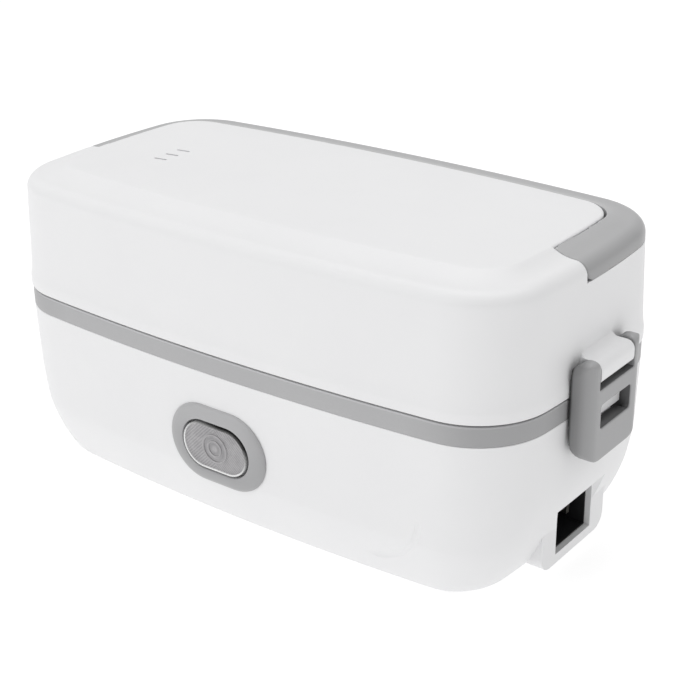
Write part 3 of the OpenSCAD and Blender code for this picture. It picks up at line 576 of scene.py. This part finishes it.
# Room inside, under the panel and under the front, and the step for the handle.
room = moulding("lid_room", [(2.4, 2.4, 72), (2.4 + 1.3, 2.4 + 1.3, 107.3),
                             (17.4, 20.3, 107.6), (17.4, 20.3, 118.4)])
combine(lid, room, "DIFFERENCE")
front_room = moulding("front_room", [(4.0, 4.0, 102), (4.0, 4.0, 111.5), (5.0, 5.0, 114), (7.0, 7.0, 115.4),
                                     (12, 13.2, 116.2), (15, 17.9, 117.4), (18, 20.9, 118.2)])
combine(front_room, block("front_half", (-130, -70, 95), (130, -10.4, 130)), "INTERSECT")
combine(lid, front_room, "DIFFERENCE")
step = block("handle_step", (-140, -8, 110.7), (140, 80, 125))
riser = moulding("panel_riser", [(*panel_edge, 105), (*panel_edge, 119.9), (15.06, 17.96, 120.2),
                                 (15.25, 18.15, 120.5), (15.55, 18.45, 120.7), (16.0, 18.9, 120.85),
                                 (16.0, 18.9, 130)])
combine(step, riser, "DIFFERENCE")
combine(lid, step, "DIFFERENCE")

# Bores for the handle's and the clips' stubs, and the slots that let steam out.
for sx in (-1, 1):
    x, y, z = handle_pivot
    combine(lid, rod("handle_bore", (sx * x, y, z), bore_radius, 7, "X", 32), "DIFFERENCE")
    x, z = clip_pivot
    for sy in (-1, 1):
        combine(lid, rod("clip_bore", (sx * x, sy * 11, z), bore_radius, 4.2, "Y", 32), "DIFFERENCE")
for y in (-11.8, -5.2, 1.4):
    slot = [[(-71 + 2.4 * sx + 0.6 * math.cos(a), y + 0.35 * sx + 0.6 * math.sin(a), z)
             for sx, a in half_turns(8)] for z in (114, 125)]
    combine(lid, lofted("steam_slot", slot), "DIFFERENCE")
crisp(lid)
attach(lid, "lid")
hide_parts("lid_shell")
paint(lid, white_abs)

# ---------------------------------------------------------------------------
# Carry handle.
# A grey U, hollow underneath, that lies flush in the lid's step. Two stubs on
# its inner side turn in the lid, and its arms end in rounded corners.
handle = lid_form("carry_handle_skin")
handle_front = -7.4
handle_bottom = 110.65
side_profile = [(handle_front + 4 - 4 * math.sin(math.radians(a)),
                 handle_bottom + 4 - 4 * math.cos(math.radians(a))) for a in range(0, 91, 9)]
side_profile += [(handle_front + 1.5 - 1.5 * math.cos(math.radians(a)),
                  120.65 - 1.5 + 1.5 * math.sin(math.radians(a))) for a in range(0, 91, 15)]
side_profile += [(-5.9, 124), (75, 124), (75, handle_bottom)]
handle_side = [[(x, y, z) for y, z in side_profile] for x in (-140, 140)]
combine(handle, lofted("handle_side", handle_side), "INTERSECT")
combine(handle, moulding("panel_hole", [(14.6, 17.5, 105), (14.6, 17.5, 130)], tighter=2.2), "DIFFERENCE")
channel = moulding("handle_channel", [(3.8, 3.8, 110), (3.8, 3.8, 113), (6.8, 6.8, 115.2)])
combine(channel, moulding("channel_core", [(12.2, 15.1, 105), (12.2, 15.1, 130)]), "DIFFERENCE")
combine(channel, block("channel_span", (-140, 3.6, 100), (140, 80, 130)), "INTERSECT")
for x in range(-60, 61, 30):
    combine(channel, block("rib", (x - 0.8, 0, 112), (x + 0.8, 80, 130)), "DIFFERENCE")
combine(handle, channel, "DIFFERENCE")
stub_radius = 1.5
for sx in (-1, 1):
    x, y, z = handle_pivot
    combine(handle, rod("stub", (sx * x, y, z), stub_radius, 5.4, "X", 32), "UNION")
softened(handle, grid=0.4, rounds=3, keep=0.3)
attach(handle, "handle")
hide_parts("carry_handle")
handle_grey = plastic("handle_grey", (0.50, 0.50, 0.505), (0.465, 0.465, 0.472),
                      roughness=0.34, specular=0.5)
# Painted light and shade: the handle's grey is painted darker down its sides and is full only on its top,
# as light from above would leave it.
graded(handle_grey, "Z", 0.111, 0.121, ((0, 0.68), (0.35, 0.71), (0.65, 0.86), (0.85, 1.0), (1, 1.0)))
paint(handle, handle_grey)

# ---------------------------------------------------------------------------
# Clips.
# One grey moulding an end: two ears with stubs that turn in the lid's knuckle,
# a slot for the knuckle, a window for a fingertip, and a hook behind it.


def corner_arc(y, z, radius, start, stop, steps=8):
    """Points on an arc in degrees, with its last."""
    turns = [math.radians(start + (stop - start) * i / steps) for i in range(steps + 1)]
    return [(y + radius * math.cos(a), z + radius * math.sin(a)) for a in turns]


def clip(name, sx):
    """The clip of one end: its outline in plan, from the side and from the front, then its openings."""
    half, top, bottom = 19.5, 86.5, 48.3
    plan_r, foot_r, top_r = 6.5, 9.5, 5
    plan = [(117.5, half), (117.5, -half)]
    plan += corner_arc(120.5, plan_r - half, plan_r, -90, 0)
    plan += corner_arc(120.5, half - plan_r, plan_r, 0, 90)
    piece = lofted(name, [[(x, y, z) for x, y in plan] for z in (46, 90)])
    side = [(119.5, 82.4), (119.15, 79.5), (119.15, 66), (119.4, 60), (119.7, 56.5), (120.1, 53.8),
            (120.8, 51.7), (121.8, 50.1), (123.1, 49.0), (124.7, 48.4), (126.4, bottom), (130, bottom),
            (130, 82.6), (127, 82.6)]
    side += corner_arc(123.8, 83.3, 3.2, 0, 90) + [(123.0, 86.35), (122.2, 86.0), (121.4, 85.5)]
    side += corner_arc(121.2, 83.4, 1.9, 100, 190)
    combine(piece, lofted("clip_side", [[(x, y, z) for x, z in side] for y in (-30, 30)]), "INTERSECT")
    front = corner_arc(foot_r - half, bottom + foot_r, foot_r, 180, 270)
    front += corner_arc(half - foot_r, bottom + foot_r, foot_r, 270, 360)
    front += corner_arc(half - top_r, top - top_r, top_r, 0, 90)
    front += corner_arc(top_r - half, top - top_r, top_r, 90, 180)
    combine(piece, lofted("clip_front", [[(x, y, z) for y, z in front] for x in (110, 135)]), "INTERSECT")
    combine(piece, block("clip_room", (110, -10.6, 51), (124.6, 10.6, 74.0)), "DIFFERENCE")
    for y in (-14.2, 14.2):
        combine(piece, block("side_room", (110, y - 2, 53), (122.4, y + 2, 78)), "DIFFERENCE")
    slot = [(-12.3, 75.4), (12.3, 75.4), (12.3, 85.4), (12.5, 86.1), (13.0, 86.5), (13.4, 86.6), (13.4, 95)]
    slot += [(-y, z) for y, z in slot[:1:-1]]
    combine(piece, lofted("knuckle_slot", [[(x, y, z) for y, z in slot] for x in (110, 135)]), "DIFFERENCE")
    combine(piece, block("finger_window", (118, -10.6, 60.4), (130, 10.6, 69.5), radius=1.2), "DIFFERENCE")
    combine(piece, block("hook", (121.6, -9.3, 57.8), (125.9, 9.3, 60.6)), "UNION")
    x, z = clip_pivot
    for sy in (-1, 1):
        combine(piece, rod("stub", (x, sy * 11.3, z), stub_radius, 3.4, "Y", 32), "UNION")
    if sx < 0:
        for v in piece.data.vertices:
            v.co.x = -v.co.x
        piece.data.flip_normals()
    softened(piece, grid=0.28, rounds=6, keep=0.35)
    return piece


# Painted shade: the clips' grey is painted darker towards the wall, almost black where a clip meets it, and
# darker between the ears behind the front face, in the window, the slot and round the hook; painted
# highlight: the ears' tops are painted lighter than the rest.
clip_grey = plastic("clip_grey", (0.507, 0.507, 0.513), (0.467, 0.467, 0.476), roughness=0.36)
graded(clip_grey, "Z", 0.0852, 0.0863, ((0, 0.76), (1, 1.0)))
graded(clip_grey, "X", 0.119, 0.127,
       ((0, 0.05), (0.10, 0.08), (0.19, 0.52), (0.45, 0.60), (0.72, 0.85), (1, 1.0)))
place = clip_grey.node_tree.nodes["Separate XYZ"].outputs
between_ears = maths(clip_grey, "LESS_THAN", maths(clip_grey, "ABSOLUTE", place["Y"]), 0.0122)
behind_face = maths(clip_grey, "LESS_THAN", maths(clip_grey, "ABSOLUTE", place["X"]), 0.1266)
inside = maths(clip_grey, "MULTIPLY", between_ears, behind_face)
painted_shading(clip_grey, maths(clip_grey, "SUBTRACT", 1.0, maths(clip_grey, "MULTIPLY", 0.6, inside)))

for sx, body, node in ((1, "clip_right", "latch_right"), (-1, "clip_left", "latch_left")):
    piece = clip(body + "_skin", sx)
    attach(piece, body)
    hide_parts(node)
    paint(piece, clip_grey)

# ---------------------------------------------------------------------------
# Lamp.
# A grey pillow-shaped bezel presses into the front wall and holds a clear
# moulded window with a target in its middle and fine prisms to either side.
bezel_profile = [(45.8, 31.8, -0.02), (45.5, 31.5, -0.45), (44.8, 30.8, -0.85), (43.8, 29.8, -1.2),
                 (42.4, 28.4, -1.53), (40.6, 26.6, -1.8), (38.4, 24.8, -2.0), (35.8, 23.0, -2.1),
                 (33.4, 21.5, -2.05), (32.5, 20.7, -1.85), (32.2, 20.4, -1.5), (32.2, 20.4, 0.9),
                 (28.4, 16.6, 0.9), (28.4, 16.6, 4.9), (35.8, 21.8, 4.9), (35.8, 21.8, -0.02)]
bezel = lofted("lamp_bezel", [stadium(w, h, y) for w, h, y in bezel_profile], hoop=True)
crisp(bezel)
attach(bezel, "base")
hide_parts("indicator_bezel")
bezel_grey = plastic("bezel_grey", (0.505, 0.505, 0.511), (0.466, 0.466, 0.475), roughness=0.36)
# Painted light: the bezel's grey is painted darker towards its bottom and full at its top, as if lit from
# above.
graded(bezel_grey, "Z", 0.020, 0.052, ((0, 0.76), (0.5, 0.80), (0.8, 0.88), (1, 1.0)))
paint(bezel, bezel_grey)

lens_shift = (-0.15, -0.1)
lens_profile = [(27.2, 0.35), (30.7, 0.35), (30.7, -1.5), (30.55, -1.85), (30.2, -2.1), (29.7, -2.17),
                (29.2, -2.1), (28.8, -1.75), (28.4, -1.65), (24, -1.75), (19, -1.8)]
lens = lofted("lamp_window", [[(x + lens_shift[0], y, z + lens_shift[1])
                               for x, y, z in stadium(w, w - 11.8, depth)] for w, depth in lens_profile])
turns = [2 * math.pi * i / 48 for i in range(48)]
for outer in (5.9, 3.4):
    ring_profile = [(outer, -1.7), (outer, -2.0), (outer - 0.15, -2.15),
                    (outer - 0.5, -2.15), (outer - 0.65, -2.0), (outer - 0.65, -1.7)]
    target = lofted("target_ring", [[on_front_wall(r * math.cos(a), y, r * math.sin(a)) for a in turns]
                                    for r, y in ring_profile], hoop=True)
    combine(lens, target, "UNION")
bpy.ops.object.shade_smooth_by_angle(angle=math.radians(40))
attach(lens, "base")
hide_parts("indicator_lens")


def clear_plastic(name, middle):
    """Clear plastic with a dim hatch behind it, rings round its middle, and a rim with a painted highlight
    at the left and below and painted shadow at the upper right.
    """
    material = bpy.data.materials.new(name)
    material.use_nodes = True
    nodes, links = material.node_tree.nodes, material.node_tree.links
    shader = nodes["Principled BSDF"]
    shader.inputs["Roughness"].default_value = 0.12
    shader.inputs["Coat Weight"].default_value = 0.6
    place = nodes.new("ShaderNodeTexCoord")
    centred = nodes.new("ShaderNodeMapping")
    centred.inputs["Location"].default_value = [-c * mm for c in middle]
    split = nodes.new("ShaderNodeSeparateXYZ")
    links.new(place.outputs["Object"], centred.inputs["Vector"])
    links.new(centred.outputs["Vector"], split.inputs[0])
    across, up = split.outputs["X"], split.outputs["Z"]

    def calc(operation, a, b=None):
        return maths(material, operation, a, b)

    sideways = calc("ABSOLUTE", across)
    up_squared = calc("MULTIPLY", up, up)
    from_middle = calc("SQRT", calc("ADD", calc("MULTIPLY", across, across), up_squared))
    past_core = calc("MAXIMUM", calc("SUBTRACT", sideways, 0.0059), 0.0)
    from_core = calc("SQRT", calc("ADD", calc("MULTIPLY", past_core, past_core), up_squared))

    # Rings round the target, and a fine slanting hatch to either side of it.
    pattern = nodes.new("ShaderNodeMix")
    links.new(calc("LESS_THAN", from_middle, 0.0063), pattern.inputs["Factor"])
    links.new(calc("MULTIPLY", calc("ADD", sideways, up), 4600.0), pattern.inputs["A"])
    links.new(calc("MULTIPLY", from_middle, 2500.0), pattern.inputs["B"])
    wave = calc("SINE", pattern.outputs["Result"])
    haze = nodes.new("ShaderNodeTexNoise")
    haze.inputs["Scale"].default_value = 260.0
    haze.inputs["Detail"].default_value = 4
    links.new(place.outputs["Object"], haze.inputs["Vector"])
    field = ramp(material, calc("ADD", calc("MULTIPLY", wave, 0.24), haze.outputs["Fac"]),
                 ((0, (0.22, 0.215, 0.225)), (1, (0.42, 0.41, 0.42))))

    # The rim: a painted highlight at the left and below, and painted shadow at the upper right, where the
    # bezel shades the gap round the window.
    height = spread(material, calc("ADD", calc("MULTIPLY", across, 0.4), up), -0.004, 0.010)
    painted_rim_light = ramp(material, height,
                  [(at, (tone, tone, tone)) for at, tone in ((0, 0.90), (0.45, 0.50), (1, 0.03))])
    colour = nodes.new("ShaderNodeMix")
    colour.data_type = "RGBA"
    links.new(spread(material, from_core, 0.0085, 0.0087), colour.inputs["Factor"])
    links.new(field, colour.inputs["A"])
    links.new(painted_rim_light, colour.inputs["B"])
    links.new(colour.outputs["Result"], shader.inputs["Base Color"])
    relieved(material, wave, 0.35, 0.0002)
    return material


paint(lens, clear_plastic("clear_window", (lamp_x + lens_shift[0], 0, lamp_height + lens_shift[1])))

# ---------------------------------------------------------------------------
# Pieces whose CAD shape is right keep it and get their real finish.
finishes = {
    "rubber_feet": plastic("foot_rubber", (0.20, 0.20, 0.205), (0.16, 0.16, 0.165),
                           roughness=0.75, bump=0.15),
    "power_inlet": plastic("inlet_black", (0.012, 0.012, 0.013), (0.02, 0.02, 0.022),
                           roughness=0.32, bump=0.04),
    "container_lid": plastic("cover_plastic", (0.62, 0.63, 0.64), (0.56, 0.57, 0.58), roughness=0.35),
    "upper_tray": plastic("tray_plastic", (0.70, 0.70, 0.70), (0.64, 0.64, 0.64), roughness=0.33),
    "vent_plug": plastic("plug_silicone", (0.34, 0.34, 0.35), (0.30, 0.30, 0.31), roughness=0.6),
    "container_seal": plastic("seal_silicone", (0.72, 0.72, 0.70), (0.66, 0.66, 0.64), roughness=0.55),
    "plate_gasket": plastic("gasket_silicone", (0.42, 0.08, 0.05), (0.36, 0.06, 0.04), roughness=0.6),
    "ptc_heater": plastic("heater_foil", (0.55, 0.42, 0.20), (0.50, 0.38, 0.17), roughness=0.3),
    "thermostat": plastic("phenolic", (0.02, 0.02, 0.02), (0.03, 0.03, 0.03), roughness=0.3),
    "thermal_fuse": plastic("fuse_sleeve", (0.70, 0.70, 0.66), (0.62, 0.62, 0.58), roughness=0.4),
    "lamp_board": plastic("board_green", (0.02, 0.16, 0.06), (0.03, 0.20, 0.08), roughness=0.35),
    "live_lead": plastic("lead_brown", (0.16, 0.07, 0.03), (0.20, 0.09, 0.04), roughness=0.5),
    "neutral_lead": plastic("lead_blue", (0.03, 0.09, 0.35), (0.04, 0.11, 0.40), roughness=0.5),
    "earth_lead": plastic("lead_green", (0.20, 0.35, 0.04), (0.55, 0.50, 0.05), roughness=0.5),
    "heater_leads": plastic("lead_red", (0.40, 0.03, 0.02), (0.34, 0.03, 0.02), roughness=0.5),
    "lamp_leads": plastic("lead_grey", (0.10, 0.10, 0.11), (0.13, 0.13, 0.14), roughness=0.5),
}


def metal(name, colour, roughness, along):
    """A metal with fine brush lines along one axis."""
    material = bpy.data.materials.new(name)
    material.use_nodes = True
    nodes, links = material.node_tree.nodes, material.node_tree.links
    shader = nodes["Principled BSDF"]
    shader.inputs["Metallic"].default_value = 1.0
    shader.inputs["Base Color"].default_value = (*colour, 1)
    place = nodes.new("ShaderNodeTexCoord")
    stretch = nodes.new("ShaderNodeMapping")
    stretch.inputs["Scale"].default_value = [60 if axis == along else 2400 for axis in "XYZ"]
    brush = nodes.new("ShaderNodeTexNoise")
    brush.inputs["Scale"].default_value = 1.0
    brush.inputs["Detail"].default_value = 4
    rough = nodes.new("ShaderNodeMapRange")
    rough.inputs["To Min"].default_value = roughness - 0.08
    rough.inputs["To Max"].default_value = roughness + 0.12
    links.new(place.outputs["Object"], stretch.inputs["Vector"])
    links.new(stretch.outputs["Vector"], brush.inputs["Vector"])
    links.new(brush.outputs["Fac"], rough.inputs["Value"])
    links.new(rough.outputs["Result"], shader.inputs["Roughness"])
    relieved(material, brush.outputs["Fac"], 0.1, 0.0001)
    return material


finishes["food_container"] = finishes["heater_clamp"] = metal("stainless", (0.62, 0.61, 0.60), 0.28, "X")
finishes["heating_plate"] = metal("plate_aluminium", (0.70, 0.70, 0.71), 0.35, "X")
finishes["base_screws"] = finishes["clamp_screws"] = metal("zinc_screw", (0.55, 0.55, 0.54), 0.3, "Z")
finishes["inlet_pins"] = metal("plated_pin", (0.20, 0.19, 0.17), 0.30, "X")
for node, material in finishes.items():
    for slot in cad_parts[node].material_slots:
        slot.material = material
